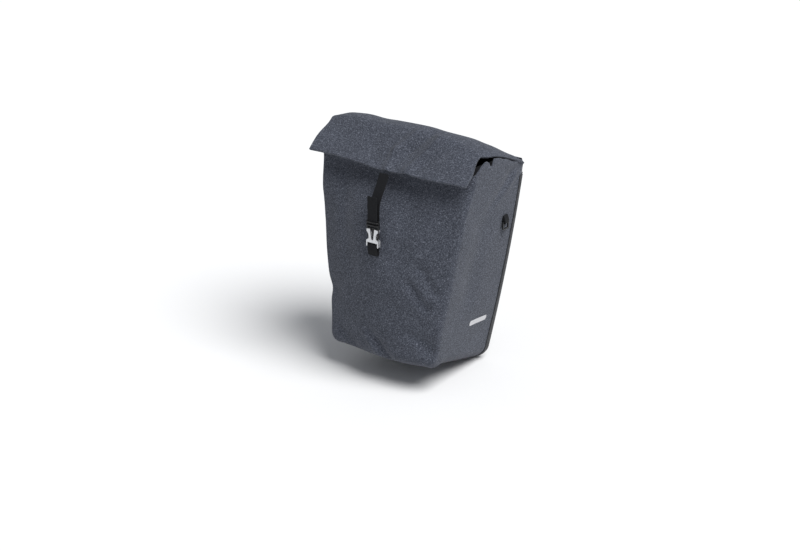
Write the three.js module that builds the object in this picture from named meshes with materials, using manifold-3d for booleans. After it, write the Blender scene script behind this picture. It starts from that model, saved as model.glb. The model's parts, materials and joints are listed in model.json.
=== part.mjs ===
// A rear pannier bag with a fold-over top, one closure strap and a quick-release rack mounting.
// Millimetres, +Z up. The origin is the centre of the rack tube, midway between the two upper hooks.
// +X is to the right seen from outside, +Y is towards the wheel, and the bag's outer face looks along -Y.
import * as THREE from "three";
import { mergeVertices } from "three/addons/utils/BufferGeometryUtils.js";
import Module from "manifold-3d";

const wasm = await Module();
wasm.setup();

// Driving dimensions. The bag's own frame starts at the bottom centre of its back panel.
const GAP = 0.4; // between pieces that touch
const TUBE_RADIUS = 8; // largest rack tube that the hooks take
const BACK_TO_TUBE = 26; // from the bag's back wall to the tube's centre
const TUBE_HEIGHT = 352; // from the bag's lowest point up to the tube's centre
const PANEL_HEIGHT = 384;
const BOTTOM_HALF_WIDTH = 92;
const WIDTH_GROWTH = 70; // added to the half-width from the bottom to the top
const FRONT_LIFT = 52; // how far the bottom rises from back to front
const EDGE_DEPTH = 192; // depth of the side walls at mid-height
const FABRIC_WALL = 2.4;
const BOTTOM_ROUNDING = 26;
const FLAP_HALF_WIDTH = 167;
const FLAP_THICKNESS = 5;
const FLAP_DOME = 21; // how far the fold-over top bulges above the straight line at its middle
const STRAP_PIVOT = { y: -193.5, z: 405 };
const WEBBING_WIDTH = 20;
const WEBBING_THICKNESS = 1.6;
const HOOK_OFFSET = 75; // of each upper hook from the middle
const HOOK_WIDTH = 24;
const RAIL_HALF_LENGTH = 145;
const RAIL_HEIGHT = 26;
const RAIL_DEPTH = 8;
const LOWER_RAIL_HALF_LENGTH = 62;
const LOWER_RAIL_HEIGHT = 95; // of its centre above the bag's lowest point
const PLATE_THICKNESS = 3;
const RING_HEIGHT = 300; // of the side rings' upper bars
const RING_SETBACK = -38; // of the side rings from the back wall

const fabric = new THREE.MeshStandardMaterial({ color: 0x4a4e58, roughness: 0.95, metalness: 0 });
const webbing = new THREE.MeshStandardMaterial({ color: 0x17181a, roughness: 0.85, metalness: 0 });
const plastic = new THREE.MeshStandardMaterial({ color: 0x1c1d1f, roughness: 0.5, metalness: 0 });
const boardPlastic = new THREE.MeshStandardMaterial({ color: 0x2b2d31, roughness: 0.6, metalness: 0 });
const rubber = new THREE.MeshStandardMaterial({ color: 0x141414, roughness: 0.9, metalness: 0 });
const aluminium = new THREE.MeshStandardMaterial({ color: 0x8c8f93, roughness: 0.35, metalness: 1 });
const castMetal = new THREE.MeshStandardMaterial({ color: 0xb9bdc1, roughness: 0.4, metalness: 0.8 });
const steel = new THREE.MeshStandardMaterial({ color: 0x9a9da1, roughness: 0.3, metalness: 1 });

const mix = THREE.MathUtils.lerp;

// A smooth curve through [position, value] pairs, used for depths and heights.
function curveOf(pairs) {
  return (at) => {
    const last = pairs.length - 1;
    if (at <= pairs[0][0]) return pairs[0][1];
    if (at >= pairs[last][0]) return pairs[last][1];
    const i = pairs.findIndex((pair) => pair[0] > at) - 1;
    const share = (at - pairs[i][0]) / (pairs[i + 1][0] - pairs[i][0]);
    return mix(pairs[i][1], pairs[i + 1][1], THREE.MathUtils.smoothstep(share, 0, 1) * 0.5 + share * 0.5);
  };
}

function manifoldOf(geometry) {
  const plain = new THREE.BufferGeometry();
  const source = geometry.index ? geometry.toNonIndexed() : geometry;
  plain.setAttribute("position", source.getAttribute("position").clone());
  const merged = mergeVertices(plain, 1e-4);
  const triVerts = new Uint32Array(merged.index.array);
  const vertProperties = new Float32Array(merged.attributes.position.array);
  return new wasm.Manifold(new wasm.Mesh({ numProp: 3, vertProperties, triVerts }));
}

function geometryOf(solid) {
  const mesh = solid.getMesh();
  const geometry = new THREE.BufferGeometry();
  geometry.setAttribute("position", new THREE.BufferAttribute(mesh.vertProperties, 3));
  geometry.setIndex(new THREE.BufferAttribute(mesh.triVerts, 1));
  geometry.computeVertexNormals();
  return geometry;
}

function join(...geometries) {
  return geometryOf(geometries.map(manifoldOf).reduce((a, b) => a.add(b)));
}

function cut(geometry, ...tools) {
  return geometryOf(tools.map(manifoldOf).reduce((a, b) => a.subtract(b), manifoldOf(geometry)));
}

function box(x0, x1, y0, y1, z0, z1) {
  const geometry = new THREE.BoxGeometry(x1 - x0, y1 - y0, z1 - z0);
  return geometry.translate((x0 + x1) / 2, (y0 + y1) / 2, (z0 + z1) / 2);
}

// A shape drawn in Y and Z, extruded along X.
function extrudeX(shape, x0, x1, curveSegments = 8) {
  const geometry = new THREE.ExtrudeGeometry(shape, { depth: x1 - x0, bevelEnabled: false, curveSegments });
  const axes = new THREE.Matrix4().makeBasis(
    new THREE.Vector3(0, 1, 0),
    new THREE.Vector3(0, 0, 1),
    new THREE.Vector3(1, 0, 0),
  );
  return geometry.applyMatrix4(axes).translate(x0, 0, 0);
}

// A shape drawn in X and Z, extruded along Y.
function extrudeY(shape, y0, y1, curveSegments = 8) {
  const geometry = new THREE.ExtrudeGeometry(shape, { depth: y1 - y0, bevelEnabled: false, curveSegments });
  return geometry.rotateX(Math.PI / 2).translate(0, y1, 0);
}

function shapeOf(points) {
  return new THREE.Shape(points.map(([a, b]) => new THREE.Vector2(a, b)));
}

function roundedRectangle(width, height, radius, centreX = 0, centreY = 0) {
  const shape = new THREE.Shape();
  const x = width / 2 - radius;
  const y = height / 2 - radius;
  shape.absarc(centreX + x, centreY + y, radius, 0, Math.PI / 2);
  shape.absarc(centreX - x, centreY + y, radius, Math.PI / 2, Math.PI);
  shape.absarc(centreX - x, centreY - y, radius, Math.PI, 1.5 * Math.PI);
  shape.absarc(centreX + x, centreY - y, radius, 1.5 * Math.PI, 2 * Math.PI);
  return shape;
}

// A closed solid through rings of points, each ring turning anticlockwise as seen from the end.
function loft(rings) {
  const count = rings[0].length;
  const ends = [rings[0], rings[rings.length - 1]];
  const centres = ends.map((ring) =>
    ring.reduce((sum, point) => sum.add(point), new THREE.Vector3()).divideScalar(count),
  );
  const points = [...rings.flat(), ...centres];
  const first = rings.length * count;
  const index = [];
  for (let r = 0; r < rings.length; r++) {
    for (let i = 0; i < count; i++) {
      const a = r * count + i;
      const b = r * count + ((i + 1) % count);
      if (r === 0) index.push(b, a, first);
      if (r === rings.length - 1) index.push(a, b, first + 1);
      else index.push(a, b, b + count, a, b + count, a + count);
    }
  }
  const geometry = new THREE.BufferGeometry().setFromPoints(points);
  return geometry.setIndex(index);
}

// A ribbon of constant thickness along points in Y and Z, of a given width in X.
function ribbon(route, width, thickness = WEBBING_THICKNESS, steps = 24) {
  const curve = new THREE.CatmullRomCurve3(
    route.map(([y, z]) => new THREE.Vector3(y, z, 0)),
    false,
    "centripetal",
  );
  const left = [];
  const right = [];
  for (let i = 0; i <= steps; i++) {
    const point = curve.getPointAt(i / steps);
    const along = curve.getTangentAt(i / steps);
    const side = new THREE.Vector2(-along.y, along.x).multiplyScalar(thickness / 2);
    left.push([point.x + side.x, point.y + side.y]);
    right.unshift([point.x - side.x, point.y - side.y]);
  }
  return extrudeX(shapeOf([...right, ...left]), -width / 2, width / 2);
}

// ---- The bag's body ----

function halfWidth(z) {
  const t = z / 380;
  return BOTTOM_HALF_WIDTH + WIDTH_GROWTH * (1.25 * t - 0.25 * t * t);
}

const edgeDepth = curveOf([
  [0, EDGE_DEPTH + 6],
  [100, EDGE_DEPTH],
  [270, EDGE_DEPTH - 6],
  [340, EDGE_DEPTH - 12],
  [400, EDGE_DEPTH - 28],
]);
const frontBulge = curveOf([
  [50, 12],
  [200, 36],
  [300, 32],
  [395, 4],
]);
// Height of the open top, along the side walls from back (0) to front (1).
const topHeight = curveOf([
  [0, 401],
  [0.6, 436],
  [0.88, 412],
  [1, 405],
]);

// Points round the body, as shares of its half-width and of its depth.
function bodyOutline() {
  const corner = 0.15;
  const points = [];
  const straight = 6;
  for (let i = 0; i < straight; i++) points.push([1 - (2 * i) / straight, 0]);
  for (let i = 0; i < straight; i++) points.push([-1, ((1 - corner) * i) / straight]);
  for (let i = 0; i < straight; i++) {
    const angle = (Math.PI / 2) * (i / straight);
    points.push([-1 + corner * (1 - Math.cos(angle)), 1 - corner + corner * Math.sin(angle)]);
  }
  const across = 12;
  for (let i = 0; i < across; i++) points.push([(1 - corner) * (-1 + (2 * i) / across), 1]);
  for (let i = 0; i < straight; i++) {
    const angle = (Math.PI / 2) * (1 - i / straight);
    points.push([1 - corner * (1 - Math.cos(angle)), 1 - corner + corner * Math.sin(angle)]);
  }
  for (let i = 0; i < straight; i++) points.push([1, (1 - corner) * (1 - i / straight)]);
  return points;
}

// One ring of the body at a share of its height, inside the outer surface by an inset.
function bodyRing(share, inset, rise) {
  return bodyOutline().map(([across, depth]) => {
    const bottom = FRONT_LIFT * depth;
    const z = mix(bottom, topHeight(depth), share);
    const above = Math.min(1, (z - bottom) / BOTTOM_ROUNDING);
    const rounding = BOTTOM_ROUNDING * (1 - Math.sqrt(1 - (1 - above) ** 2));
    const width = halfWidth(z) - rounding - inset;
    const reach = edgeDepth(z) - rounding * depth - 2 * inset;
    const bulge = frontBulge(z) * Math.cos((Math.PI / 2) * across) * depth ** 3;
    return new THREE.Vector3(across * width, -inset - reach * depth - bulge, z + rise);
  });
}

function bagShell() {
  const shares = [0, 0.008, 0.02, 0.04, 0.07, 0.18, 0.32, 0.46, 0.6, 0.72, 0.84, 0.93, 1];
  const outside = loft(shares.map((share) => bodyRing(share, 0, 0)));
  const insideRings = shares.map((share) => bodyRing(share, FABRIC_WALL, FABRIC_WALL));
  insideRings.push(bodyRing(1, FABRIC_WALL, 40));
  return cut(outside, loft(insideRings));
}

// The back panel's outline in X and Z, smaller than the bag's back by an inset.
function backOutline(inset, bottom, top, cornerRadius) {
  const steps = 12;
  const rightSide = [];
  for (let i = 0; i <= 6; i++) {
    const angle = (Math.PI / 2) * (i / 6);
    const x = halfWidth(bottom + cornerRadius) - inset - cornerRadius * (1 - Math.sin(angle));
    rightSide.push([x, bottom + cornerRadius * (1 - Math.cos(angle))]);
  }
  for (let i = 1; i <= steps; i++) {
    const z = mix(bottom + cornerRadius, top, i / steps);
    rightSide.push([halfWidth(z) - inset, z]);
  }
  return [...rightSide, ...rightSide.map(([x, z]) => [-x, z]).reverse()];
}

// ---- The plate, its trim and its rails ----

function screwHole(x, y0, y1, z, radius = 2.4) {
  return new THREE.CylinderGeometry(radius, radius, y1 - y0, 16).translate(x, (y0 + y1) / 2, z);
}

const PLATE_FACE = GAP + PLATE_THICKNESS; // the plate's wheel-side face, from the back wall
const RAIL_FLOOR = 2;
const railScrewPlaces = [-134, -6, 6, 134];
const lowerScrewPlaces = [-54, 54];

function backPlate() {
  const plate = extrudeY(shapeOf(backOutline(5, 5, PANEL_HEIGHT - 4, 30)), GAP, PLATE_FACE);
  const holes = [
    ...railScrewPlaces.map((x) => screwHole(x, -1, 6, TUBE_HEIGHT)),
    ...lowerScrewPlaces.map((x) => screwHole(x, -1, 6, LOWER_RAIL_HEIGHT)),
  ];
  return cut(plate, ...holes);
}

function edgePiping() {
  const outside = extrudeY(shapeOf(backOutline(0, 1, PANEL_HEIGHT, 34)), GAP, PLATE_FACE + 0.6);
  const inside = extrudeY(shapeOf(backOutline(4.6, 5 - GAP, PANEL_HEIGHT - 3.6, 30)), -1, 10);
  return cut(outside, inside);
}

// A C-shaped channel along X, open towards the wheel.
function channel(halfLength, height, screwPlaces) {
  const lip = 2;
  const opening = 10;
  const y0 = PLATE_FACE + GAP;
  const y1 = y0 + RAIL_DEPTH;
  const z = height;
  const bar = box(-halfLength, halfLength, y0, y1, z - RAIL_HEIGHT / 2, z + RAIL_HEIGHT / 2);
  const length = halfLength + 1;
  const cavity = box(-length, length, y0 + RAIL_FLOOR, y1 - lip, z - 10, z + 10);
  const mouth = box(-length, length, y1 - lip - 1, y1 + 1, z - opening / 2, z + opening / 2);
  return cut(bar, cavity, mouth, ...screwPlaces.map((x) => screwHole(x, y0 - 1, y0 + 3, z)));
}

function endCap(x0, x1, height) {
  const y0 = PLATE_FACE + GAP;
  return extrudeX(roundedRectangle(RAIL_DEPTH, RAIL_HEIGHT, 2.5, y0 + RAIL_DEPTH / 2, height), x0, x1, 4);
}

// A pan-head screw whose head sits on a channel's floor.
function railScrew() {
  const profile = [
    [0, -5],
    [2, -5],
    [2, 0],
    [4.4, 0],
    [4.4, 1.2],
    [3.2, 2.2],
    [0, 2.2],
  ];
  const head = new THREE.LatheGeometry(
    profile.map(([r, y]) => new THREE.Vector2(r, y)),
    16,
  );
  return cut(head, new THREE.BoxGeometry(1.2, 2, 5.5).translate(0, 2.3, 0));
}

// ---- The upper hooks ----

const HOOK_INNER = 10;
const HOOK_OUTER = 14;
const LATCH_PIVOT = { y: 2, z: 19.5 };

// A foot that slides in a channel, with its neck out through the channel's mouth.
function slideFoot(halfWidthX, plateFace) {
  const floor = plateFace + GAP + RAIL_FLOOR;
  const foot = box(-halfWidthX, halfWidthX, floor + GAP, floor + 4 - GAP, -9.5, 9.5);
  const neck = box(-halfWidthX, halfWidthX, floor + 3, floor + 7, -4.5, 4.5);
  return join(foot, neck);
}

function upperHook() {
  const profile = new THREE.Shape();
  profile.moveTo(-HOOK_INNER, -24);
  profile.lineTo(-HOOK_INNER, 0);
  profile.absarc(0, 0, HOOK_INNER, Math.PI, 0, true);
  profile.lineTo(HOOK_INNER, -5);
  profile.lineTo(HOOK_INNER + 3, -7);
  profile.lineTo(HOOK_OUTER, -5);
  profile.lineTo(HOOK_OUTER, 0);
  profile.absarc(0, 0, HOOK_OUTER, 0, Math.PI, false);
  profile.lineTo(-HOOK_OUTER + 0.4, -24);
  const arch = extrudeX(profile, -HOOK_WIDTH / 2, HOOK_WIDTH / 2, 14);
  const ears = [-1, 1].map((side) => {
    const ear = roundedRectangle(12, 16, 4, LATCH_PIVOT.y, LATCH_PIVOT.z - 2.5);
    const inner = side * 6;
    const outer = (side * HOOK_WIDTH) / 2;
    return extrudeX(ear, Math.min(inner, outer), Math.max(inner, outer), 5);
  });
  const foot = slideFoot(HOOK_WIDTH / 2, PLATE_FACE).translate(0, -BACK_TO_TUBE, 0);
  const bore = new THREE.CylinderGeometry(2.4, 2.4, 40, 16).rotateZ(Math.PI / 2);
  bore.translate(0, LATCH_PIVOT.y, LATCH_PIVOT.z);
  const clear = new THREE.CylinderGeometry(HOOK_INNER, HOOK_INNER, 40, 28).rotateZ(Math.PI / 2);
  return cut(join(arch, ...ears, foot), bore, clear);
}

// The half sleeve that fits the hook to a thinner tube.
function hookInsert() {
  const sleeve = new THREE.Shape();
  sleeve.absarc(0, 0, HOOK_INNER - GAP, 0, Math.PI, false);
  sleeve.absarc(0, 0, TUBE_RADIUS, Math.PI, 0, true);
  return extrudeX(sleeve, -HOOK_WIDTH / 2 + 1, HOOK_WIDTH / 2 - 1, 14);
}

// The sprung catch: an eye on the pin, a lever that the handle lifts, and a finger under the tube.
function latch() {
  const half = 5.5;
  const outline = shapeOf([
    [-2, 24],
    [8, 25],
    [20, 27],
    [21, 23.5],
    [19, 18],
    [19, -14],
    [4, -16],
    [3, -12.5],
    [15.2, -10.5],
    [15.2, 14],
    [6, 15.8],
    [-2, 15.8],
  ]);
  const body = extrudeX(outline, -half, half);
  const bore = new THREE.CylinderGeometry(2.4, 2.4, 40, 16).rotateZ(Math.PI / 2);
  return cut(body, bore.translate(0, LATCH_PIVOT.y, LATCH_PIVOT.z));
}

function hookPin() {
  const pin = new THREE.CylinderGeometry(2, 2, HOOK_WIDTH, 16).rotateZ(Math.PI / 2);
  return pin.translate(0, LATCH_PIVOT.y, LATCH_PIVOT.z);
}

// ---- The carry handle ----

const HANDLE = { halfSpan: 88, endHeight: 30, gripHeight: 47, y0: 3, y1: 20 };

function carryHandle() {
  const route = [
    [-HANDLE.halfSpan, HANDLE.endHeight],
    [-HANDLE.halfSpan + 18, HANDLE.endHeight + 2],
    [-50, HANDLE.gripHeight - 3],
    [-30, HANDLE.gripHeight],
    [30, HANDLE.gripHeight],
    [50, HANDLE.gripHeight - 3],
    [HANDLE.halfSpan - 18, HANDLE.endHeight + 2],
    [HANDLE.halfSpan, HANDLE.endHeight],
  ];
  const strip = ribbon(route, HANDLE.y1 - HANDLE.y0, 2.4, 32);
  // The ribbon's route runs in Y and Z, so a quarter turn lays it across the bag.
  return strip.rotateZ(-Math.PI / 2).translate(0, (HANDLE.y0 + HANDLE.y1) / 2, 0);
}

// The padded sleeve round the middle of the handle.
function handleGrip() {
  const sleeve = roundedRectangle(26, 9, 4, (HANDLE.y0 + HANDLE.y1) / 2, HANDLE.gripHeight);
  const slot = box(-40, 40, HANDLE.y0 - 1, HANDLE.y1 + 1, HANDLE.gripHeight - 2.4, HANDLE.gripHeight + 2.4);
  return cut(extrudeX(sleeve, -27, 27, 6), slot);
}

// ---- The lower hook ----

function lowerSlider() {
  const foot = slideFoot(12, PLATE_FACE);
  const floor = PLATE_FACE + GAP + RAIL_FLOOR;
  return cut(foot, screwHole(0, floor - 2, floor + 9, 0, 2.4));
}

function lowerHook() {
  const face = PLATE_FACE + GAP + RAIL_DEPTH + 1.6;
  const outline = new THREE.Shape();
  outline.absarc(0, 0, 11, Math.PI * 0.3, Math.PI * 1.7, false);
  outline.lineTo(46, -8);
  outline.absarc(46, 0, 8, -Math.PI / 2, Math.PI / 2, false);
  const arm = extrudeY(outline, face, face + 4, 10);
  const claw = box(44, 50, face + 3, face + 20, -7, 7);
  const tip = box(36, 50, face + 16, face + 20, -7, 7);
  return cut(join(arm, claw, tip), screwHole(0, face - 2, face + 6, 0, 2.4));
}

function lowerHookScrew() {
  const seat = PLATE_FACE + GAP + RAIL_DEPTH + 1.6 + 4 + GAP;
  const profile = [
    [0, -11.5],
    [2, -11.5],
    [2, 0],
    [5, 0],
    [5, 1.4],
    [3.6, 2.6],
    [0, 2.6],
  ];
  const screw = new THREE.LatheGeometry(
    profile.map(([r, y]) => new THREE.Vector2(r, y)),
    16,
  );
  return screw.translate(0, seat, 0);
}

// ---- Rubber pads and side rings ----

function bumperPad() {
  const pad = roundedRectangle(34, 18, 6);
  return extrudeY(pad, PLATE_FACE + GAP, PLATE_FACE + GAP + 7, 5);
}

const RING = { width: 20, height: 16, bar: 2.8, thickness: 2.6 };
const TAB_EYE = 2.35; // radius of the loop that the ring's upper bar turns in
const RING_CLEARANCE = 1.8; // from that loop to the side of the bag

// A webbing tab whose lower end loops round the ring's upper bar.
function sideTab() {
  const reach = 13;
  const eye = new THREE.Shape();
  eye.absarc(0, 0, TAB_EYE + 1.4, Math.PI, 2 * Math.PI, false);
  eye.lineTo(TAB_EYE + 1.4, 4);
  eye.lineTo(0, reach);
  eye.lineTo(-TAB_EYE + 1, reach);
  const hole = new THREE.Path();
  hole.absarc(0, 0, TAB_EYE, 0, 2 * Math.PI, true);
  eye.holes.push(hole);
  return extrudeY(eye, -6.5, 6.5, 8);
}

function sideRing() {
  const outer = roundedRectangle(RING.width, RING.height, 4, 0, -RING.height / 2 + RING.bar / 2);
  const innerWidth = RING.width - 2 * RING.bar;
  const innerHeight = RING.height - 2 * RING.bar;
  const inner = roundedRectangle(innerWidth, innerHeight, 2, 0, -RING.height / 2 + RING.bar / 2);
  outer.holes.push(new THREE.Path(inner.getPoints(4)));
  return extrudeX(outer, -RING.thickness / 2, RING.thickness / 2, 4);
}

// ---- The fold-over top and its stiffener ----

// Outer line of the top in Y and Z at a place across the bag, from the back hinge to the front edge.
function topLine(x) {
  const dome = FLAP_DOME * (1 - (x / FLAP_HALF_WIDTH) ** 4);
  return new THREE.SplineCurve([
    new THREE.Vector2(0, 409),
    new THREE.Vector2(-28, 419.5 + 0.5 * dome),
    new THREE.Vector2(-66, 434 + 0.9 * dome),
    new THREE.Vector2(-100, 448 + dome),
    new THREE.Vector2(-130, 459 + 0.7 * dome),
    new THREE.Vector2(-163, 437 + 0.15 * dome),
    new THREE.Vector2(-192, 412),
  ]);
}

// A closed ring of the top's thickness at a place across the bag, between two shares of its line.
function topRing(x, from, to) {
  const steps = 14;
  const line = topLine(x);
  const outer = [];
  const inner = [];
  for (let i = 0; i <= steps; i++) {
    const share = mix(from, to, i / steps);
    const point = line.getPointAt(share);
    const along = line.getTangentAt(share);
    outer.push(new THREE.Vector3(x, point.x, point.y));
    const y = point.x - along.y * FLAP_THICKNESS;
    const z = point.y + along.x * FLAP_THICKNESS;
    inner.unshift(new THREE.Vector3(x, y, z));
  }
  return [...outer, ...inner];
}

// The stiffening bar lies in a pocket under the front edge of the top.
const STIFFENER = { y: -172.4, z: 419.6, width: 20, thickness: 2.2, tilt: 0.71, halfLength: 160 };

function stiffenerBar() {
  const bar = new THREE.BoxGeometry(2 * STIFFENER.halfLength, STIFFENER.width, STIFFENER.thickness);
  return bar.rotateX(STIFFENER.tilt).translate(0, STIFFENER.y, STIFFENER.z);
}

const FOLD_SHARE = 0.66; // where the top turns down towards the front, as a share of its line
const FOLD_GAP = 0.002; // half the clearance at that fold

function topPanel(from, to) {
  const stations = 14;
  const rings = [];
  for (let i = 0; i <= stations; i++) {
    rings.push(topRing(mix(-FLAP_HALF_WIDTH, FLAP_HALF_WIDTH, i / stations), from, to));
  }
  return loft(rings);
}

// ---- The closure strap and its buckle ----

// The buckle's own frame: origin at the foot of the female half, midway between its two plates.
const BUCKLE = {
  depth: -228, // place in the bag's frame
  bottom: 279,
  slotHalf: 2.1, // half the gap between the plates
  plate: 1.5,
  tongue: 2.6, // thickness of the tongue and of the snap arms
  adjuster: 3,
};
const STRAP_OFFSET = 4.5; // the strap runs this far behind the middle of the buckle
const STRAP_END = 37.6; // its lower end, in the buckle's frame
const BUCKLE_FIT = 0.8; // the outlines are drawn for 25 mm webbing and fitted to 20 mm

function fitted(geometry) {
  return geometry.scale(BUCKLE_FIT, 1, BUCKLE_FIT);
}

function closureStrap() {
  const depth = BUCKLE.depth + STRAP_OFFSET;
  const route = [
    [STRAP_PIVOT.y, STRAP_PIVOT.z],
    [-203, 388],
    [depth + 9.5, 372],
    [depth + 2.1, 359],
    [depth + 0.3, 348],
    [depth, 338],
    [depth, BUCKLE.bottom + STRAP_END],
  ];
  return ribbon(route, WEBBING_WIDTH, WEBBING_THICKNESS, 22);
}

// The free end of the strap, which turns round the lower bar of the adjuster and runs back up.
function strapTail() {
  const back = STRAP_OFFSET - WEBBING_THICKNESS - GAP;
  const front = -(BUCKLE.adjuster + WEBBING_THICKNESS) / 2 - GAP;
  const route = [
    [back, 44],
    [back, 40.4],
    [(back + front) / 2, 37.8],
    [front, 40.4],
    [front, 52],
    [front, 94],
  ];
  return ribbon(route, WEBBING_WIDTH, WEBBING_THICKNESS, 30);
}

// The adjuster and guide tongue that slide into the female half.
function buckleMale() {
  const bottom = 41;
  const top = 62;
  const frame = roundedRectangle(33, top - bottom, 3, 0, (top + bottom) / 2);
  for (const [low, high] of [
    [44.8, 50.8],
    [52.8, 58.2],
  ]) {
    const slot = roundedRectangle(26, high - low, 1, 0, (low + high) / 2);
    frame.holes.push(new THREE.Path(slot.getPoints(3)));
  }
  const plate = extrudeY(frame, -BUCKLE.adjuster / 2, BUCKLE.adjuster / 2, 4);
  const tongue = extrudeY(roundedRectangle(5, 28, 1.5, 0, 29), -BUCKLE.tongue / 2, BUCKLE.tongue / 2, 4);
  return join(plate, tongue);
}

// One snap arm, drawn on the right of the tongue.
function buckleArm() {
  const outline = shapeOf([
    [7, 40.4],
    [11.5, 40.4],
    [12.5, 34],
    [16.2, 29.5],
    [16.2, 25],
    [12.6, 18],
    [9.5, 17],
    [9, 20],
    [11.8, 26],
    [9.4, 33],
  ]);
  return extrudeY(outline, -BUCKLE.tongue / 2, BUCKLE.tongue / 2);
}

// The plate of the female half: two arms above a waist that shows the snap arms, and two legs.
function crossOutline() {
  const rightSide = [
    [0, 17],
    [2.6, 17.8],
    [5.8, 42.6],
    [14.6, 41.6],
    [15.2, 36.5],
    [10.6, 31],
    [9.4, 25.5],
    [9.8, 19.5],
    [15.9, 15],
    [16.1, 2],
    [14.6, 0],
    [13.1, 2],
    [13.1, 10.4],
  ];
  const leftSide = rightSide.slice(1).map(([x, z]) => [-x, z]);
  return shapeOf([...leftSide.reverse(), ...rightSide].reverse());
}

const BUCKLE_BAR = { low: 2, high: 5, halfDepth: 1.6 }; // the bar that the front webbing turns round

function buckleFemale() {
  const inner = BUCKLE.slotHalf;
  const overlap = 0.5; // how far the bridge and legs reach into the plates
  const frontPlate = extrudeY(crossOutline(), -inner - BUCKLE.plate, -inner);
  const rearPlate = extrudeY(crossOutline(), inner, inner + BUCKLE.plate);
  const bridge = box(-12, 12, -inner - overlap, inner + overlap, 11.8, 14.4);
  const { low, high, halfDepth } = BUCKLE_BAR;
  const bar = box(-14.5, 14.5, -halfDepth, halfDepth, low, high);
  const legs = [
    [-16, -13.2],
    [13.2, 16],
  ].map(([x0, x1]) => box(x0, x1, -inner - overlap, inner + overlap, low, 10));
  return join(frontPlate, rearPlate, bridge, bar, ...legs);
}

// The webbing loop that holds the female half on the front panel.
function frontWebbing() {
  const reach = BUCKLE_BAR.halfDepth + GAP + WEBBING_THICKNESS / 2;
  const foot = -16.4;
  const turn = BUCKLE_FIT * BUCKLE_BAR.high;
  const route = [
    [reach - 0.2, foot],
    [reach, -8],
    [reach, turn],
    [0, turn + 2.7],
    [-reach, turn],
    [-reach, -7],
    [reach - 3.2, foot],
  ];
  return ribbon(route, WEBBING_WIDTH, WEBBING_THICKNESS, 40);
}

// ---- Assembly ----

const pannier = new THREE.Group();
const bag = new THREE.Group(); // the bag's own frame
bag.position.set(0, -BACK_TO_TUBE, -TUBE_HEIGHT);
pannier.add(bag);

function place(group, name, geometry, material, x = 0, y = 0, z = 0) {
  const mesh = new THREE.Mesh(geometry, material);
  mesh.name = name;
  mesh.position.set(x, y, z);
  group.add(mesh);
  return mesh;
}

place(bag, "bag_shell", bagShell(), fabric);
place(bag, "back_plate", backPlate(), boardPlastic);
place(bag, "edge_piping", edgePiping(), webbing);
const boardFace = -FABRIC_WALL - GAP;
const boardShape = shapeOf(backOutline(18, 34, PANEL_HEIGHT - 14, 24));
place(bag, "inner_board", extrudeY(boardShape, boardFace - 2, boardFace), boardPlastic);

place(bag, "upper_rail", channel(RAIL_HALF_LENGTH, TUBE_HEIGHT, railScrewPlaces), aluminium);
const capStart = RAIL_HALF_LENGTH + GAP;
place(bag, "rail_cap_right", endCap(capStart, capStart + 4, TUBE_HEIGHT), plastic);
place(bag, "rail_cap_left", endCap(-capStart - 4, -capStart, TUBE_HEIGHT), plastic);
const screwSeat = PLATE_FACE + 2 * GAP + RAIL_FLOOR;
railScrewPlaces.forEach((x, i) => {
  place(bag, `rail_screw_${i + 1}`, railScrew(), steel, x, screwSeat, TUBE_HEIGHT);
});

place(bag, "lower_rail", channel(LOWER_RAIL_HALF_LENGTH, LOWER_RAIL_HEIGHT, lowerScrewPlaces), plastic);
lowerScrewPlaces.forEach((x, i) => {
  place(bag, `lower_rail_screw_${i + 1}`, railScrew(), steel, x, screwSeat, LOWER_RAIL_HEIGHT);
});
place(bag, "lower_slider", lowerSlider(), plastic, 0, 0, LOWER_RAIL_HEIGHT);
place(bag, "lower_hook", lowerHook(), plastic, 0, 0, LOWER_RAIL_HEIGHT);
place(bag, "lower_hook_screw", lowerHookScrew(), steel, 0, 0, LOWER_RAIL_HEIGHT);

for (const [sideName, side] of [
  ["left", -1],
  ["right", 1],
]) {
  const hook = new THREE.Group();
  hook.position.x = side * HOOK_OFFSET;
  pannier.add(hook);
  place(hook, `hook_${sideName}`, upperHook(), plastic);
  place(hook, `hook_insert_${sideName}`, hookInsert(), rubber);
  place(hook, `hook_pin_${sideName}`, hookPin(), steel);
  place(hook, `latch_${sideName}`, latch(), plastic);

  place(bag, `bumper_pad_${sideName}`, bumperPad(), rubber, side * 58, 0, 46);
  const ringX = side * (halfWidth(RING_HEIGHT) + TAB_EYE + RING_CLEARANCE);
  const tab = place(bag, `side_tab_${sideName}`, sideTab(), webbing, ringX, RING_SETBACK, RING_HEIGHT);
  if (side < 0) tab.rotation.z = Math.PI;
  place(bag, `side_ring_${sideName}`, sideRing(), plastic, ringX, RING_SETBACK, RING_HEIGHT);
}

place(pannier, "carry_handle", carryHandle(), webbing);
place(pannier, "handle_grip", handleGrip(), rubber);

place(bag, "fold_over_top", topPanel(0, FOLD_SHARE - FOLD_GAP), fabric);
place(bag, "top_front", topPanel(FOLD_SHARE + FOLD_GAP, 1), fabric);
place(bag, "top_stiffener", stiffenerBar(), plastic);

place(bag, "closure_strap", closureStrap(), webbing);

const buckle = new THREE.Group(); // the buckle's own frame
buckle.position.set(0, BUCKLE.depth, BUCKLE.bottom);
bag.add(buckle);
place(buckle, "strap_tail", strapTail(), webbing);
place(buckle, "buckle_male", fitted(buckleMale()), plastic);
const rightArm = fitted(buckleArm());
place(buckle, "buckle_arm_right", rightArm, plastic);
place(buckle, "buckle_arm_left", rightArm.clone().rotateZ(Math.PI), plastic);
place(buckle, "buckle_female", fitted(buckleFemale()), castMetal);
place(buckle, "front_webbing", frontWebbing(), webbing);

export default pannier;
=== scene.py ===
"""A rear pannier bag: fabric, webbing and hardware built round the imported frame. Metres, +Z up."""

import json
import math

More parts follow.
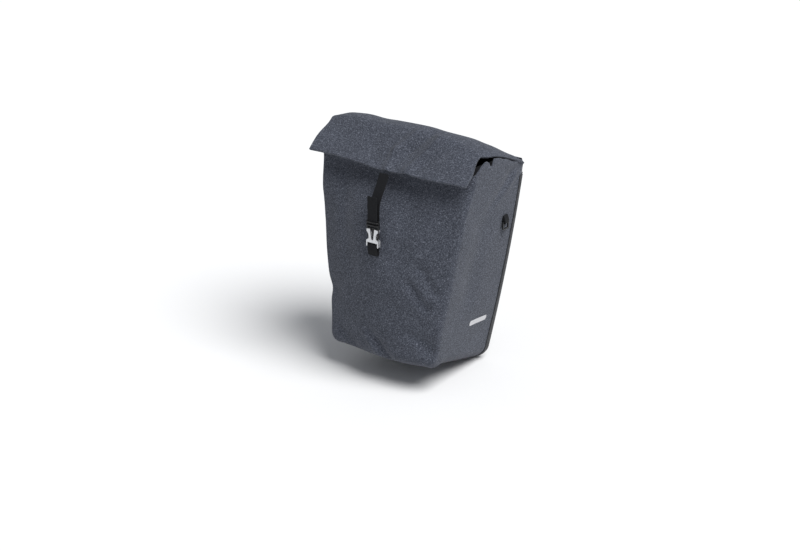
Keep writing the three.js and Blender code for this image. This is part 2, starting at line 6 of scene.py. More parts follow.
import bmesh
import bpy
import numpy as np
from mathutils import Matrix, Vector


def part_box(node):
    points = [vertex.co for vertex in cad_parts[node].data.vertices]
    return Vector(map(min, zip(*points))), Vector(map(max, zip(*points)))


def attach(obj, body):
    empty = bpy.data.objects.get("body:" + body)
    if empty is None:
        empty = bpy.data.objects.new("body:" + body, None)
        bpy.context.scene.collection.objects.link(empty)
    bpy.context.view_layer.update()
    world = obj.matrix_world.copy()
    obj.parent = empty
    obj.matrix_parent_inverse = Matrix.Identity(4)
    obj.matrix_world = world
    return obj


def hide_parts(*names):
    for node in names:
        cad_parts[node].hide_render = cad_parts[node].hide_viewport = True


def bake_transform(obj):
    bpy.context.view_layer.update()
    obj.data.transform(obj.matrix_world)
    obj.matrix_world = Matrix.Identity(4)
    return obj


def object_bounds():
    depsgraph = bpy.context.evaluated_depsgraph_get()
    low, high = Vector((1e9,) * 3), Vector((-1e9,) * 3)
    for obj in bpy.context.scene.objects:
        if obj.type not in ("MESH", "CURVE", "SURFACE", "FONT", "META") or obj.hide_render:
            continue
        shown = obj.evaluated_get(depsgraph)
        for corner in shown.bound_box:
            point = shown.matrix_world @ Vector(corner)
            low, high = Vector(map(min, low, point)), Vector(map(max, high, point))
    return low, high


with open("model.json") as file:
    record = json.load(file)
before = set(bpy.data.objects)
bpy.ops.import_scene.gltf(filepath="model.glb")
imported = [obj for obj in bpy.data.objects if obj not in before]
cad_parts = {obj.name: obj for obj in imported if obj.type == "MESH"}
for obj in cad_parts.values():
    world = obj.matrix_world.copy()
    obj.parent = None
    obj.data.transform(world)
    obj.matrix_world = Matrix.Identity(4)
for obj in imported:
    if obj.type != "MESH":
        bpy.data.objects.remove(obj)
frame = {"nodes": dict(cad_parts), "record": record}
cad_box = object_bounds()

MM = 0.001
BACK_TO_TUBE = 26 * MM  # from the back wall to the rack tube's centre, which is the origin
TUBE_HEIGHT = 352 * MM
FRONT_LIFT = 52 * MM  # how far the bottom rises from back to front
FABRIC = 2.2 * MM
BOTTOM_ROUNDING = 26 * MM
BOTTOM_CENTRE = 0.45  # share of the depth where the rings of the bottom close
STRIP_HEIGHT = 0.22  # the reflective strip's middle, as a share of the side's height
STRIP_FALL = 0.012
FLAP_HALF_WIDTH = 166.5 * MM
FLAP_THICKNESS = 4.4 * MM
FLAP_DOME = 21 * MM
FLAP_LEAN = 0.035  # the fold sits higher towards the left end


def curve_through(pairs):
    """A smooth function through (position, value) pairs."""
    places, values = np.array(pairs, float).T

    def at(x):
        x = np.clip(x, places[0], places[-1])
        i = np.clip(np.searchsorted(places, x, side="right") - 1, 0, len(places) - 2)
        share = (x - places[i]) / (places[i + 1] - places[i])
        eased = 0.5 * share + 0.5 * share * share * (3 - 2 * share)
        return values[i] + (values[i + 1] - values[i]) * eased

    return at


# ---- Camera, light and floor ----

AZIMUTH = math.radians(34.83)
ELEVATION = math.radians(22.84)
LENS = 86.0
CAMERA_PLACE = Vector((1.8153, -2.7810, 1.1835))
SKY_STRENGTH = 0.36
SEEN_SKY = 0.8
KEY_STRENGTH = 3.75
KEY_DIRECTION = (0.58, -0.13, 0.92)  # from the bag towards the light


def add_camera():
    data = bpy.data.cameras.new("camera")
    data.lens = LENS
    data.sensor_width = 36.0
    camera = bpy.data.objects.new("camera", data)
    camera.location = CAMERA_PLACE
    camera.rotation_euler = (math.pi / 2 - ELEVATION, 0, AZIMUTH)
    bpy.context.scene.collection.objects.link(camera)
    bpy.context.scene.camera = camera


def add_stage():
    """A pale floor under the bag, lit by one broad soft light from the right and a pale sky."""
    half = 9.0
    height = cad_box[0][2] - 0.001
    mesh = bpy.data.meshes.new("floor")
    corners = [(-half, -half), (half, -half), (half, half), (-half, half)]
    mesh.from_pydata([(x, y, height) for x, y in corners], [], [(0, 1, 2, 3)])
    floor = bpy.data.objects.new("floor", mesh)
    bpy.context.scene.collection.objects.link(floor)
    recipe = Recipe("pale_floor")
    mesh.materials.append(recipe.finish((0.78, 0.78, 0.78), 0.9))
    world = bpy.data.worlds.new("studio")
    world.use_nodes = True
    links = world.node_tree.links
    lighting = world.node_tree.nodes["Background"]
    lighting.inputs["Color"].default_value = (0.92, 0.95, 1.0, 1)
    lighting.inputs["Strength"].default_value = SKY_STRENGTH
    seen = world.node_tree.nodes.new("ShaderNodeBackground")
    seen.inputs["Color"].default_value = (1, 1, 1, 1)
    seen.inputs["Strength"].default_value = SEEN_SKY
    ray = world.node_tree.nodes.new("ShaderNodeLightPath")
    choice = world.node_tree.nodes.new("ShaderNodeMixShader")
    links.new(ray.outputs["Is Camera Ray"], choice.inputs["Fac"])
    links.new(lighting.outputs["Background"], choice.inputs[1])
    links.new(seen.outputs["Background"], choice.inputs[2])
    links.new(choice.outputs["Shader"], world.node_tree.nodes["World Output"].inputs["Surface"])
    bpy.context.scene.world = world
    data = bpy.data.lights.new("key", "SUN")
    data.energy = KEY_STRENGTH
    data.angle = math.radians(36)
    key = bpy.data.objects.new("key", data)
    key.rotation_euler = Vector(KEY_DIRECTION).to_track_quat("Z", "Y").to_euler()
    bpy.context.scene.collection.objects.link(key)
    bpy.context.scene.view_settings.view_transform = "Standard"


# ---- Materials ----


class Recipe:
    """A node material with short calls for what the recipes below repeat."""

    def __init__(self, name):
        self.material = bpy.data.materials.new(name)
        self.material.use_nodes = True
        self.tree = self.material.node_tree
        self.shader = self.tree.nodes["Principled BSDF"]
        self.place = self.add("ShaderNodeTexCoord").outputs["Object"]

    def add(self, kind, **settings):
        node = self.tree.nodes.new(kind)
        for key, value in settings.items():
            setattr(node, key, value)
        return node

    def link(self, source, target):
        self.tree.links.new(source, target)

    def stretched(self, scale, turn=(0, 0, 0)):
        mapping = self.add("ShaderNodeMapping")
        mapping.inputs["Scale"].default_value = scale
        mapping.inputs["Rotation"].default_value = turn
        self.link(self.place, mapping.inputs["Vector"])
        return mapping.outputs["Vector"]

    def noise(self, scale, detail=2.0, roughness=0.5, vector=None):
        node = self.add("ShaderNodeTexNoise")
        node.inputs["Scale"].default_value = scale
        node.inputs["Detail"].default_value = detail
        node.inputs["Roughness"].default_value = roughness
        self.link(vector or self.place, node.inputs["Vector"])
        return node.outputs["Fac"]

    def waves(self, scale, direction, distortion=0.0):
        node = self.add("ShaderNodeTexWave", bands_direction=direction)
        node.inputs["Scale"].default_value = scale
        node.inputs["Distortion"].default_value = distortion
        node.inputs["Detail"].default_value = 1.0
        self.link(self.place, node.inputs["Vector"])
        return node.outputs["Fac"]

    def ramp(self, value, stops):
        node = self.add("ShaderNodeValToRGB")
        elements = node.color_ramp.elements
        while len(elements) < len(stops):
            elements.new(0.5)
        for element, (position, colour) in zip(elements, stops, strict=True):
            element.position = position
            element.color = (*colour, 1) if len(colour) == 3 else colour
        self.link(value, node.inputs["Fac"])
        return node.outputs["Color"]

    def grey(self, value, low, high, dark=0.0, light=1.0):
        return self.ramp(value, [(low, (dark,) * 3), (high, (light,) * 3)])

    def blend(self, mode, share, first, second):
        node = self.add("ShaderNodeMix", data_type="RGBA", blend_type=mode)
        if isinstance(share, float):
            node.inputs["Factor"].default_value = share
        else:
            self.link(share, node.inputs["Factor"])
        for value, name in ((first, "A"), (second, "B")):
            socket = [s for s in node.inputs if s.name == name and s.type == "RGBA"][0]
            if isinstance(value, tuple):
                socket.default_value = (*value, 1)
            else:
                self.link(value, socket)
        return [s for s in node.outputs if s.type == "RGBA"][0]

    def sums(self, operation, first, second):
        node = self.add("ShaderNodeMath", operation=operation)
        for value, socket in ((first, node.inputs[0]), (second, node.inputs[1])):
            if isinstance(value, float):
                socket.default_value = value
            else:
                self.link(value, socket)
        return node.outputs[0]

    def bump(self, height, distance, strength=1.0, before=None):
        node = self.add("ShaderNodeBump")
        node.inputs["Distance"].default_value = distance
        node.inputs["Strength"].default_value = strength
        self.link(height, node.inputs["Height"])
        if before is not None:
            self.link(before, node.inputs["Normal"])
        return node.outputs["Normal"]

    def finish(self, colour, roughness, normal=None, metallic=0.0, sheen=0.0, rough_range=None, gloss=0.5):
        shader = self.shader.inputs
        if isinstance(colour, tuple):
            shader["Base Color"].default_value = (*colour, 1)
        else:
            self.link(colour, shader["Base Color"])
        if rough_range is None:
            shader["Roughness"].default_value = roughness
        else:
            self.link(rough_range, shader["Roughness"])
        shader["Metallic"].default_value = metallic
        shader["Sheen Weight"].default_value = sheen
        shader["Sheen Roughness"].default_value = 0.5
        shader["Specular IOR Level"].default_value = gloss
        if normal is not None:
            self.link(normal, shader["Normal"])
        return self.material


THREADS_PER_METRE = 1100.0


def heathered_fabric(name, dark, middle, light):
    """Coated polyester of mixed yarns: a fine weave with short light slubs both ways."""
    recipe = Recipe(name)
    across = recipe.noise(1.0, 2.0, 0.6, recipe.stretched((300, 300, 1150)))
    upright = recipe.noise(1.0, 2.0, 0.6, recipe.stretched((1150, 1150, 300)))
    slubs = recipe.sums("MAXIMUM", across, upright)
    fleck = recipe.noise(430.0, 3.0, 0.8)
    cloud = recipe.noise(16.0, 3.0, 0.55)
    base = recipe.ramp(slubs, [(0.44, dark), (0.56, middle), (0.7, light)])
    speckled = recipe.blend("SCREEN", recipe.grey(fleck, 0.56, 0.68, 0.0, 1.0), base, light)
    shaded = recipe.blend("MULTIPLY", 0.35, speckled, recipe.grey(cloud, 0.3, 0.7, 0.72, 1.0))
    weave = recipe.sums(
        "MULTIPLY",
        recipe.waves(THREADS_PER_METRE / 6, "Z"),
        recipe.waves(THREADS_PER_METRE / 6, "DIAGONAL"),
    )
    surface = recipe.bump(weave, 0.00018, 0.5)
    surface = recipe.bump(slubs, 0.0003, 0.5, surface)
    surface = recipe.bump(cloud, 0.002, 0.25, surface)
    return recipe.finish(shaded, 0.9, surface, sheen=0.08, gloss=0.2)


def lining():
    recipe = Recipe("coated_lining")
    cloud = recipe.noise(40.0, 3.0)
    colour = recipe.ramp(cloud, [(0.35, (0.012, 0.012, 0.014)), (0.7, (0.024, 0.025, 0.028))])
    return recipe.finish(colour, 0.7, recipe.bump(recipe.noise(700.0), 0.0002, 0.4), gloss=0.2)


def webbing():
    """Polyester webbing: ribs across it and a slightly lighter thread."""
    recipe = Recipe("black_webbing")
    ribs = recipe.waves(210.0, "Z", 0.4)
    threads = recipe.noise(1.0, 2.0, 0.5, recipe.stretched((2400, 2400, 500)))
    colour = recipe.ramp(threads, [(0.35, (0.004, 0.0042, 0.005)), (0.75, (0.017, 0.018, 0.021))])
    surface = recipe.bump(ribs, 0.00025, 0.7)
    surface = recipe.bump(threads, 0.0002, 0.5, surface)
    return recipe.finish(colour, 0.8, surface, sheen=0.04, gloss=0.12)


def moulded(name, dark, light, roughness, grain, depth):
    recipe = Recipe(name)
    cloud = recipe.noise(120.0, 3.0)
    colour = recipe.ramp(cloud, [(0.35, dark), (0.7, light)])
    wear = recipe.grey(recipe.noise(260.0, 4.0), 0.3, 0.75, roughness - 0.08, roughness + 0.1)
    surface = recipe.bump(recipe.noise(grain), depth, 0.5)
    return recipe.finish(colour, roughness, surface, rough_range=wear, gloss=0.3)


def metal(name, dark, light, roughness, grain=900.0, stretch=(1, 1, 1)):
    recipe = Recipe(name)
    streaks = recipe.noise(grain, 3.0, 0.6, recipe.stretched(stretch))
    colour = recipe.ramp(streaks, [(0.3, dark), (0.75, light)])
    wear = recipe.grey(recipe.noise(180.0, 4.0), 0.3, 0.75, roughness - 0.07, roughness + 0.12)
    surface = recipe.bump(streaks, 0.00008, 0.5)
    return recipe.finish(colour, roughness, surface, metallic=0.85, rough_range=wear)


def reflective_print():
    recipe = Recipe("reflective_print")
    beads = recipe.noise(1400.0, 2.0)
    colour = recipe.ramp(beads, [(0.3, (0.42, 0.42, 0.44)), (0.75, (0.62, 0.62, 0.64))])
    return recipe.finish(colour, 0.42, recipe.bump(beads, 0.0001, 0.5))


MATERIALS = {
    "fabric": heathered_fabric(
        "heathered_fabric", (0.020, 0.0235, 0.032), (0.050, 0.056, 0.074), (0.128, 0.138, 0.168)
    ),
    "lining": lining(),
    "webbing": webbing(),
    "plastic": moulded(
        "black_plastic", (0.007, 0.0072, 0.008), (0.015, 0.0155, 0.017), 0.42, 1500.0, 0.00006
    ),
    "board_plastic": moulded(
        "board_plastic", (0.020, 0.021, 0.024), (0.034, 0.035, 0.039), 0.55, 520.0, 0.0003
    ),
    "rubber": moulded("black_rubber", (0.009, 0.009, 0.009), (0.018, 0.018, 0.018), 0.8, 800.0, 0.0001),
    "aluminium": metal(
        "anodised_aluminium", (0.23, 0.235, 0.245), (0.34, 0.345, 0.355), 0.34, 300.0, (0.2, 4, 4)
    ),
    "cast_metal": metal("cast_metal", (0.52, 0.53, 0.55), (0.72, 0.73, 0.75), 0.42),
    "steel": metal("screw_steel", (0.35, 0.35, 0.36), (0.5, 0.5, 0.51), 0.3),
    "print": reflective_print(),
}

# ---- Mesh helpers ----


def new_piece(name, points, faces, material, body):
    mesh = bpy.data.meshes.new(name)
    mesh.from_pydata([tuple(p) for p in points], [], faces)
    mesh.materials.append(MATERIALS[material])
    mesh.validate()
    mesh.shade_smooth()
    piece = bpy.data.objects.new(name, mesh)
    bpy.context.scene.collection.objects.link(piece)
    if body is not None:
        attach(piece, body)
    return piece


def modifier(piece, kind, **settings):
    made = piece.modifiers.new(kind.lower(), kind)
    for key, value in settings.items():
        setattr(made, key, value)
    return made


def grid_faces(rows, columns, around=False):
    """Faces of a grid of points, row by row; around joins the last column to the first."""
    faces = []
    last = columns if around else columns - 1
    for r in range(rows - 1):
        for c in range(last):
            a = r * columns + c
            b = r * columns + (c + 1) % columns
            faces.append((a, b, b + columns, a + columns))
    return faces


def tube(points, radius, sides=6):
    """Vertices and faces of a closed tube with flat ends along points."""
    route = [Vector(p) for p in points]
    vertices = []
    for i, point in enumerate(route):
        along = (route[min(i + 1, len(route) - 1)] - route[max(i - 1, 0)]).normalized()
        side = along.orthogonal().normalized()
        up = along.cross(side)
        for k in range(sides):
            angle = 2 * math.pi * k / sides
            vertices.append(point + radius * (math.cos(angle) * side + math.sin(angle) * up))
    faces = grid_faces(len(route), sides, around=True)
    faces.append(tuple(reversed(range(sides))))
    end = (len(route) - 1) * sides
    faces.append(tuple(range(end, end + sides)))
    return vertices, faces


# ---- Hardware: the frame's own shapes with finished edges ----

BEVELS = {
    "back_plate": 0.8,
    "edge_piping": 1.2,
    "inner_board": 0.6,
    "upper_rail": 0.4,
    "lower_rail": 0.4,
    "rail_cap_left": 1.0,
    "rail_cap_right": 1.0,
    "bumper_pad_left": 1.8,
    "bumper_pad_right": 1.8,
    "hook_left": 0.8,
    "hook_right": 0.8,
    "latch_left": 0.9,
    "latch_right": 0.9,
    "hook_insert_left": 0.3,
    "hook_insert_right": 0.3,
    "hook_pin_left": 0.4,
    "hook_pin_right": 0.4,
    "lower_slider": 0.4,
    "lower_hook": 1.0,
    "carry_handle": 0.5,
    "handle_grip": 1.2,
    "top_stiffener": 0.5,
    "side_tab_left": 0.5,
    "side_tab_right": 0.5,
    "side_ring_left": 0.9,
    "side_ring_right": 0.9,
    "closure_strap": 0.4,
    "strap_tail": 0.4,
    "front_webbing": 0.4,
    "buckle_male": 0.6,
    "buckle_arm_left": 0.6,
    "buckle_arm_right": 0.6,
    "buckle_female": 0.55,
}
SMOOTH_ANGLE = math.radians(32)
SLOTS = {row["node"]: row["material_slot"] for row in frame["record"]["subparts"]}
BODIES = {node: body for body, nodes in frame["record"]["behaviour"]["bodies"].items() for node in nodes}


def finished_edges(node, bevel):
    """A copy of a node whose sharp edges are rounded, standing for the node."""
    mesh = frame["nodes"][node].data.copy()
    mesh.name = node + "_finished"
    work = bmesh.new()
    work.from_mesh(mesh)
    bmesh.ops.remove_doubles(work, verts=work.verts, dist=2e-6)
    bmesh.ops.dissolve_limit(
        work, angle_limit=math.radians(1.5), verts=work.verts, edges=work.edges, use_dissolve_boundaries=False
    )
    for face in work.faces:
        face.smooth = True
    for edge in work.edges:
        edge.smooth = edge.calc_face_angle(0) < SMOOTH_ANGLE
    work.to_mesh(mesh)
    work.free()
    mesh.materials.clear()
    mesh.materials.append(MATERIALS[SLOTS[node]])
    piece = bpy.data.objects.new(node + "_finished", mesh)
    bpy.context.scene.collection.objects.link(piece)
    modifier(
        piece,
        "BEVEL",
        width=bevel * MM,
        segments=2,
        limit_method="ANGLE",
        angle_limit=SMOOTH_ANGLE,
        harden_normals=True,
        use_clamp_overlap=True,
    )
    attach(piece, BODIES[node])
    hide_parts(node)
    return piece


def add_hardware():
    for node, bevel in BEVELS.items():
        finished_edges(node, bevel)
    for node, thing in frame["nodes"].items():
        if "screw" in node:
            thing.data.materials.clear()
            thing.data.materials.append(MATERIALS["steel"])


def add_adjuster_bars():
    """The two ribs of the adjuster that cross in front of the webbing."""
    low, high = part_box("buckle_male")
    middle = (low[1] + high[1]) / 2
    radius = 1.2 * MM
    side = high[0] - 1.4 * MM
    front = middle - 4.6 * MM
    for name, drop in (("upper", 2.8), ("lower", 8.6)):
        z = high[2] - drop * MM
        bend = 2.2 * MM
        corner = (side - 0.3 * bend, front + 0.3 * bend, z)
        half = [(side, middle, z), (side, front + bend, z), corner, (side - bend, front, z)]
        route = half + [(-x, y, z) for x, y, z in half[::-1]]
        vertices, faces = tube(route, radius, sides=10)
        new_piece(f"adjuster_bar_{name}", vertices, faces, "plastic", "buckle")


# ---- The bag's body ----


def half_width(z):
    t = z / (380 * MM)
    return (92 + 70 * (1.25 * t - 0.25 * t * t)) * MM


edge_depth = curve_through([(0, 0.197), (0.1, 0.192), (0.27, 0.186), (0.34, 0.180), (0.4, 0.164)])
front_bulge = curve_through([(0.05, 0.014), (0.2, 0.035), (0.3, 0.031), (0.395, 0.004)])
# Height of the open edge from the back (0) to the front (1): the side folds in where it drops.
top_height = curve_through(
    [
        (0, 0.4035),
        (0.17, 0.4125),
        (0.4, 0.4285),
        (0.55, 0.4375),
        (0.625, 0.4405),
        (0.65, 0.4285),
        (0.705, 0.4285),
        (0.75, 0.4405),
        (0.79, 0.4425),
        (0.85, 0.4405),
        (0.93, 0.4325),
        (1, 0.4235),
    ]
)


LEFT_RISE = 4.5 * MM  # the rim follows the top, which sits higher at the left end


def skin(across, depth, share):
    """Points of the body from shares of its half-width (-1 to 1), its depth (0 to 1) and its height."""
    across, depth, share = np.broadcast_arrays(across, depth, share)
    bottom = FRONT_LIFT * depth
    rim = top_height(depth) + LEFT_RISE * (1 - across) / 2 * np.clip((depth - 0.3) / 0.3, 0, 1)
    z = bottom + (rim - bottom) * share
    above = np.clip((z - bottom) / BOTTOM_ROUNDING, 0, 1)
    rounding = BOTTOM_ROUNDING * (1 - np.sqrt(np.clip(1 - (1 - above) ** 2, 0, 1)))
    width = half_width(z) - rounding
    reach = edge_depth(z) - rounding * depth
    bulge = front_bulge(z) * np.cos(np.pi / 2 * across) * depth**3
    points = np.stack([across * width, -reach * depth - bulge, z], axis=-1)
    return points + folds(points, depth)


def ridge(points, start, end, width, push):
    """A soft crease: a push that fades across a line from start to end and towards its ends."""
    a, b = np.array(start) * MM, np.array(end) * MM
    along = b - a
    length = np.linalg.norm(along)
    along = along / length
    offset = points - a
    at = offset @ along
    away = np.linalg.norm(offset - at[..., None] * along, axis=-1)
    outside = np.maximum(np.maximum(-at, at - length), 0)
    fade = np.exp(-((away / (width * MM)) ** 2) - (outside / (1.2 * width * MM)) ** 2)
    return fade[..., None] * np.array(push) * MM


# Creases of the filled bag: start, end, half-width and push, in millimetres in the bag's own frame.
CREASES = [
    ((-140, -70, 122), (-120, -150, 64), 60, (-22, 0, 0)),  # fuller lower left
    ((-150, -120, 168), (-112, -196, 160), 17, (5, 2, 0)),  # pinch above it
    ((0, -220, 290), (0, -220, 236), 34, (0, -4, 0)),  # the buckle pulls the front out
    ((164, -102, 446), (164, -104, 440), 7, (0, -3, 0)),  # the side's edge leans into the pleat
    ((-164, -102, 446), (-164, -104, 440), 7, (0, -3, 0)),
    ((166, -8, 402), (162, -4, 380), 12, (-3, 0, 0)),  # rounded upper rear corners
    ((-166, -8, 402), (-162, -4, 380), 12, (3, 0, 0)),
    ((84, -200, 246), (104, -196, 206), 9, (0, 8, 0)),  # dents beside the front's right edge
    ((66, -212, 214), (92, -200, 176), 8, (0, 7, 0)),
    ((88, -200, 232), (112, -188, 186), 7, (0, -5, 0)),
    ((110, -170, 205), (104, -196, 128), 12, (4, -3, 0)),
    ((60, -222, 118), (96, -196, 92), 13, (0, 8, 0)),
    ((-34, -216, 96), (2, -206, 54), 7, (0, -6, 2)),  # diagonal crease low on the front
    ((-20, -220, 104), (16, -208, 62), 9, (0, 7, 0)),
    ((-84, -206, 84), (-52, -206, 60), 10, (0, 5, 0)),
    ((100, -170, 66), (72, -200, 96), 8, (2, -4, 0)),
    ((162, -20, 388), (150, -72, 344), 6, (4, 0, 0)),  # pull at the upper rear corner
    ((158, -40, 394), (148, -92, 348), 9, (-5, 0, 0)),
    ((146, -150, 352), (140, -120, 316), 12, (-3, 0, 0)),
    ((0, -190, 396), (-46, -224, 300), 22, (0, -3, 0)),  # tension beside the strap
    ((60, -190, 390), (44, -226, 270), 22, (0, 5, 0)),
    ((-96, -186, 372), (-70, -222, 240), 20, (0, 5, 0)),
    ((142, -110, 300), (124, -120, 180), 30, (-4, 0, 0)),  # the side panels dish slightly
    ((-142, -110, 330), (-132, -110, 260), 30, (4, 0, 0)),
    ((-156, -160, 400), (-138, -185, 290), 42, (6, 2, 0)),  # the left edge draws in near the top
    ((-86, -200, 54), (70, -200, 52), 28, (0, -1, -5)),  # the load rounds the bottom down
    ((98, -170, 62), (102, -176, 56), 16, (0, -3, -4)),
    ((-112, -160, 40), (-104, -176, 52), 20, (-5, -2, -4)),
]


def folds(points, depth):
    """Creases and low waves of soft fabric, fading out where the stiff back panel holds it."""
    held = np.clip(depth / 0.12, 0, 1)[..., None]
    moved = sum(ridge(points, *crease) for crease in CREASES)
    x, y, z = points[..., 0], points[..., 1], points[..., 2]
    wave = np.sin(31 * x + 17 * z + 1.1) * np.sin(24 * z - 9 * x) + 0.6 * np.sin(52 * z + 33 * y + 22 * x)
    moved[..., 1] += 1.3 * MM * wave * np.clip(depth, 0, 1) ** 2
    moved[..., 0] += 0.9 * MM * wave * np.sign(x) * (1 - np.clip(depth, 0, 1) ** 4)
    return moved * held


def body_outline(straight=26, corner_steps=10, front_steps=72):
    """Shares of half-width and depth round the body, anticlockwise from the rear right corner."""
    corner = 0.045
    points = [(1 - 2 * i / straight, 0) for i in range(straight)]
    points += [(-1, (1 - corner) * i / straight) for i in range(straight)]
    for i in range(corner_steps):
        angle = math.pi / 2 * i / corner_steps
        points.append((-1 + corner * (1 - math.cos(angle)), 1 - corner + corner * math.sin(angle)))
    points += [((1 - corner) * (-1 + 2 * i / front_steps), 1) for i in range(front_steps)]
    for i in range(corner_steps):
        angle = math.pi / 2 * (1 - i / corner_steps)
        points.append((1 - corner * (1 - math.cos(angle)), 1 - corner + corner * math.sin(angle)))
    points += [(1, (1 - corner) * (1 - i / straight)) for i in range(straight)]
    return np.array(points)


def in_row_frame(points):
    return np.asarray(points) - np.array([0, BACK_TO_TUBE, TUBE_HEIGHT])


def add_body():
    outline = body_outline()
    rows = 120
    share = np.concatenate([[0, 0.004, 0.01, 0.018, 0.028, 0.04, 0.055], np.linspace(0.07, 1, rows - 7)])
    grid = skin(outline[None, :, 0], outline[None, :, 1], share[:, None])
    count = len(outline)
    points = in_row_frame(grid.reshape(-1, 3))
    faces = grid_faces(rows, count, around=True)
    rings = 7
    shrinks = np.linspace(1, 0, rings + 1)[1:-1]
    below = [skin(outline[:, 0] * k, outline[:, 1] * k + BOTTOM_CENTRE * (1 - k), 0.0) for k in shrinks]
    centre = skin(0.0, 0.45, 0.0)
    start = len(points)
    points = np.vstack([points, in_row_frame(np.concatenate(below)), in_row_frame(centre[None])])
    previous = list(range(count))
    for r in range(rings - 1):
        current = [start + r * count + i for i in range(count)]
        for i in range(count):
            j = (i + 1) % count
            faces.append((previous[j], previous[i], current[i], current[j]))
        previous = current
    last = len(points) - 1
    faces += [(previous[(i + 1) % count], previous[i], last) for i in range(count)]
    piece = new_piece("bag_body", points, faces, "fabric", "bag")
    piece.data.materials.append(MATERIALS["lining"])
    modifier(piece, "SOLIDIFY", thickness=FABRIC, offset=-1, material_offset=1, use_even_offset=True)
    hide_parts("bag_shell")
    return piece


def add_side_folds():
    """The side fabric that tucks inwards under each end of the top, in the darker lining colour as painted
    shade for the opening there.
    """
    depth = np.linspace(0.02, 0.985, 60)
    steps = 14
    for name, side in (("left", -1.0), ("right", 1.0)):
        rim = skin(side, depth, 1.0)
        rows = []
        for share in np.linspace(0, 1, steps):
            row = rim.copy()
            row[:, 0] -= side * (1.5 * MM + 60 * MM * share)
            row[:, 2] -= 3 * MM + 22 * MM * math.sin(0.5 * math.pi * share)
            rows.append(row)
        points = in_row_frame(np.concatenate(rows))
        faces = grid_faces(steps, len(depth))
        # The tucked pieces take the darker lining colour: painted shade in the dark opening under the top's
        # ends.
        piece = new_piece(f"side_fold_{name}", points, faces, "lining", "bag")
        modifier(piece, "SOLIDIFY", thickness=1.2 * MM, offset=0)


def add_edge_binding():
    """The dark moulded band that holds the fabric to the plate, round the rear edge of the bag."""
    rise = np.linspace(0.94, 0.012, 70)
    across = np.linspace(1, -1, 60)
    path = [(1.0, share) for share in rise]
    path += [(a, 0.0) for a in across]
    path += [(-1.0, share) for share in rise[::-1]]
    columns = 6
    rows = []
    for side, share in path:
        reach = (0.055 - 0.028 * share) * np.linspace(-0.06, 1, columns)
        points = skin(side, np.maximum(reach, 0), share)
        centre = np.array([0, points[0, 1], 0.2])
        outward = points[0] - centre
        outward[1] = 0
        outward = outward / np.linalg.norm(outward)
        if share == 0.0:
            outward = np.array([0.0, 0.0, -1.0])
        lifted = points + outward * 0.9 * MM
        lifted[0] = points[0] + outward * 0.2 * MM + np.array([0, 3.2 * MM, 0])
        rows.append(lifted)
    points = in_row_frame(np.concatenate(rows))
    piece = new_piece("edge_binding", points, grid_faces(len(path), columns), "board_plastic", "bag")
    modifier(piece, "SOLIDIFY", thickness=1.4 * MM, offset=0)


def add_back_hinge():
    """The back wall's fabric, which runs on over the plate into the top and bends there."""
    profile = [(0.9, 386), (0.9, 396), (0.6, 404), (-0.6, 409.5), (-4, 412), (-9, 413.9), (-14, 415.6)]
    line = catmull(np.array(profile) * MM, 26)
    stations = 40
    rows = [np.column_stack([np.full(len(line), x), line]) for x in np.linspace(-0.1625, 0.1625, stations)]
    points = in_row_frame(np.concatenate(rows))
    faces = grid_faces(stations, len(line))
    piece = new_piece("back_hinge_fabric", points, faces, "fabric", None)
    modifier(piece, "SOLIDIFY", thickness=1.0 * MM, offset=0)
    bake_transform(piece)


def add_reflective_strips():
    """One plain rounded strip low on each side, in place of any mark."""
    length, width = 40, 7
    for name, side in (("left", -1.0), ("right", 1.0)):
        rows = []
        for i in range(length):
            along = 2 * i / (length - 1) - 1
            rounding = math.sqrt(max(0.0, 1 - max(0.0, abs(along) - 0.86) ** 2 / 0.14**2))
            half = 0.013 * max(rounding, 0.04)
            depth = 0.33 + 0.15 * along
            middle = STRIP_HEIGHT - STRIP_FALL * along
            rows.append([(depth, middle + half * (2 * j / (width - 1) - 1)) for j in range(width)])
        table = np.array(rows)
        points = skin(side, table[..., 0], table[..., 1]).reshape(-1, 3)
        points[:, 0] += side * 0.35 * MM
        faces = grid_faces(length, width)
        if side < 0:
            faces = [tuple(reversed(face)) for face in faces]
        new_piece(f"reflective_strip_{name}", in_row_frame(points), faces, "print", "bag")


# ---- The fold-over top ----


def top_profile(u):
    """Outer line of the top in Y and Z at u, from -1 at the left end to 1 at the right end."""
    dome = FLAP_DOME * (1 - abs(u) ** 4)
    lean = -FLAP_LEAN * FLAP_HALF_WIDTH * u
    pulled = 6 * MM * math.exp(-((u / 0.3) ** 2))  # the strap pulls the middle of the front edge down
    crisp = min(1.0, abs(u) ** 3)  # the fold is round in the middle and sharp at the ends
    places = [
        (0, 0.409),
        (-0.028, 0.4215 + 0.5 * dome),
        (-0.066, 0.4375 + 0.9 * dome + 0.3 * lean),
        (-0.100, 0.4505 + dome + 0.7 * lean),
        (-0.124, 0.4575 + 0.8 * dome + lean),
        (-0.133 - 0.004 * (1 - crisp), 0.4575 + 0.62 * dome + lean),
        (-0.163, 0.437 + 0.15 * dome + 0.8 * lean - 0.4 * pulled),
        (-0.192 + 0.3 * pulled, 0.4155 + 0.5 * lean - pulled),
    ]
    return np.array(places)


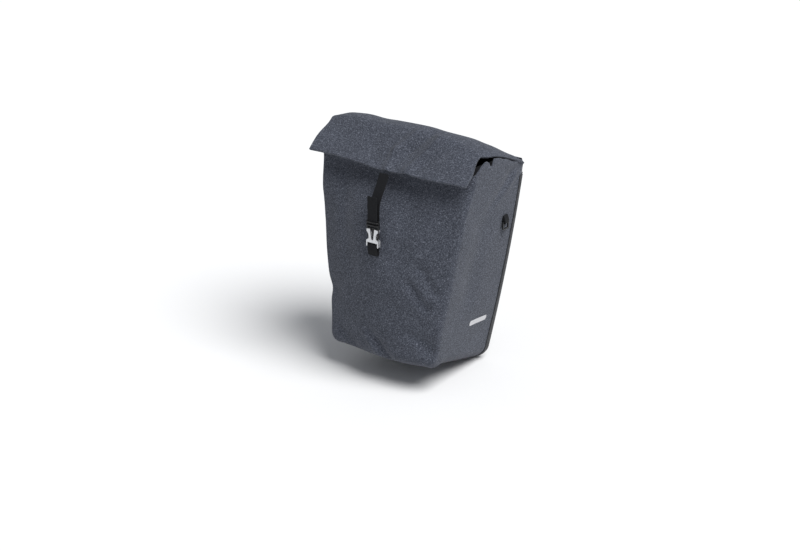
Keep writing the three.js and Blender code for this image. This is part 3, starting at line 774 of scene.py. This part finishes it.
def catmull(points, count):
    """Points at even steps along a smooth curve through the given ones."""
    padded = np.vstack([2 * points[0] - points[1], points, 2 * points[-1] - points[-2]])
    dense = []
    for i in range(1, len(padded) - 2):
        p0, p1, p2, p3 = padded[i - 1 : i + 3]
        for t in np.linspace(0, 1, 24, endpoint=False):
            a = 2 * p1 + (p2 - p0) * t
            b = (2 * p0 - 5 * p1 + 4 * p2 - p3) * t * t
            c = (3 * p1 - p0 - 3 * p2 + p3) * t**3
            dense.append(0.5 * (a + b + c))
    dense = np.array([*dense, padded[-2]])
    steps = np.concatenate([[0], np.cumsum(np.linalg.norm(np.diff(dense, axis=0), axis=1))])
    at = np.linspace(0, steps[-1], count)
    return np.stack([np.interp(at, steps, dense[:, k]) for k in range(dense.shape[1])], axis=1)


# Creases of the fold-over top, in the same form as those of the bag.
TOP_CREASES = [
    ((10, -190, 410), (26, -168, 435), 5, (0, 0.8, -1.2)),  # the strap's valley, shallow over the stiffener
    ((28, -160, 443), (56, -132, 470), 7, (0, 3.5, -5)),  # and deeper above it
    ((0, -188, 411), (3, -164, 439), 7, (0, -3, 3)),
    ((3, -164, 439), (30, -134, 469), 7, (0, -4, 4)),
    ((42, -184, 416), (80, -135, 468), 8, (0, -4.5, 4.5)),
    ((-104, -128, 468), (-56, -128, 474), 30, (0, 0, -3)),  # the fold runs straighter on the left
    ((60, -176, 432), (110, -140, 462), 12, (0, 2, -2)),
    ((-20, -190, 412), (-58, -150, 452), 14, (0, 1.5, -2)),
    ((60, -90, 470), (120, -110, 466), 14, (0, 0, -1.2)),
    ((-90, -60, 450), (-60, -110, 466), 18, (0, 0, -2)),
    ((-140, -100, 456), (-150, -50, 436), 13, (0, 0, 2)),
    ((110, -40, 440), (128, -76, 452), 13, (0, 0, -1.2)),
]


END_CURL = 3.5 * MM  # how far the ends of the top curl down over the sides
CURL_START = 0.93


def top_surface(stations, count):
    """Outer points of the fold-over top, stations across by count from the back to the front."""
    rows = []
    for u in np.linspace(-1, 1, stations):
        line = catmull(top_profile(u), count)
        share = np.linspace(0, 1, count)
        narrow = 1 - 0.05 * np.exp(-(((share - 0.7) / 0.12) ** 2)) + 0.008 * np.exp(-((share / 0.12) ** 2))
        x = u * FLAP_HALF_WIDTH * narrow
        drop = END_CURL * max(0.0, (abs(u) - CURL_START) / (1 - CURL_START)) ** 2
        curl = drop * np.clip((0.68 - share) / 0.1, 0, 1) * (1 + 0.8 * np.clip(1 - share / 0.25, 0, 1))
        rows.append(np.stack([x, line[:, 0], line[:, 1] - curl], axis=1))
    points = np.array(rows)
    held = np.clip(np.linspace(0, 1, count) / 0.1, 0, 1)[None, :, None]
    moved = sum(ridge(points, *crease) for crease in TOP_CREASES)
    x, y = points[..., 0], points[..., 1]
    moved[..., 2] += 0.9 * MM * (np.sin(43 * x + 61 * y) + np.sin(27 * x - 38 * y + 2) * 0.8)
    return points + moved * held


def add_top():
    stations, count = 96, 64
    grid = top_surface(stations, count)
    points = in_row_frame(grid.reshape(-1, 3))
    piece = new_piece("top_fabric", points, grid_faces(stations, count), "fabric", "top")
    work = bmesh.new()
    work.from_mesh(piece.data)
    bmesh.ops.recalc_face_normals(work, faces=work.faces)
    top_face = max(work.faces, key=lambda face: face.calc_center_median().z)
    if top_face.normal.z < 0:
        bmesh.ops.reverse_faces(work, faces=work.faces)
    work.to_mesh(piece.data)
    work.free()
    modifier(piece, "SOLIDIFY", thickness=FLAP_THICKNESS, offset=-1)
    modifier(piece, "BEVEL", width=1.6 * MM, segments=3, limit_method="ANGLE", angle_limit=math.radians(50))
    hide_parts("fold_over_top", "top_front")
    return piece


# ---- Build ----

add_camera()
add_stage()
add_hardware()
add_adjuster_bars()
add_body()
add_side_folds()
add_edge_binding()
add_reflective_strips()
add_top()
add_back_hinge()
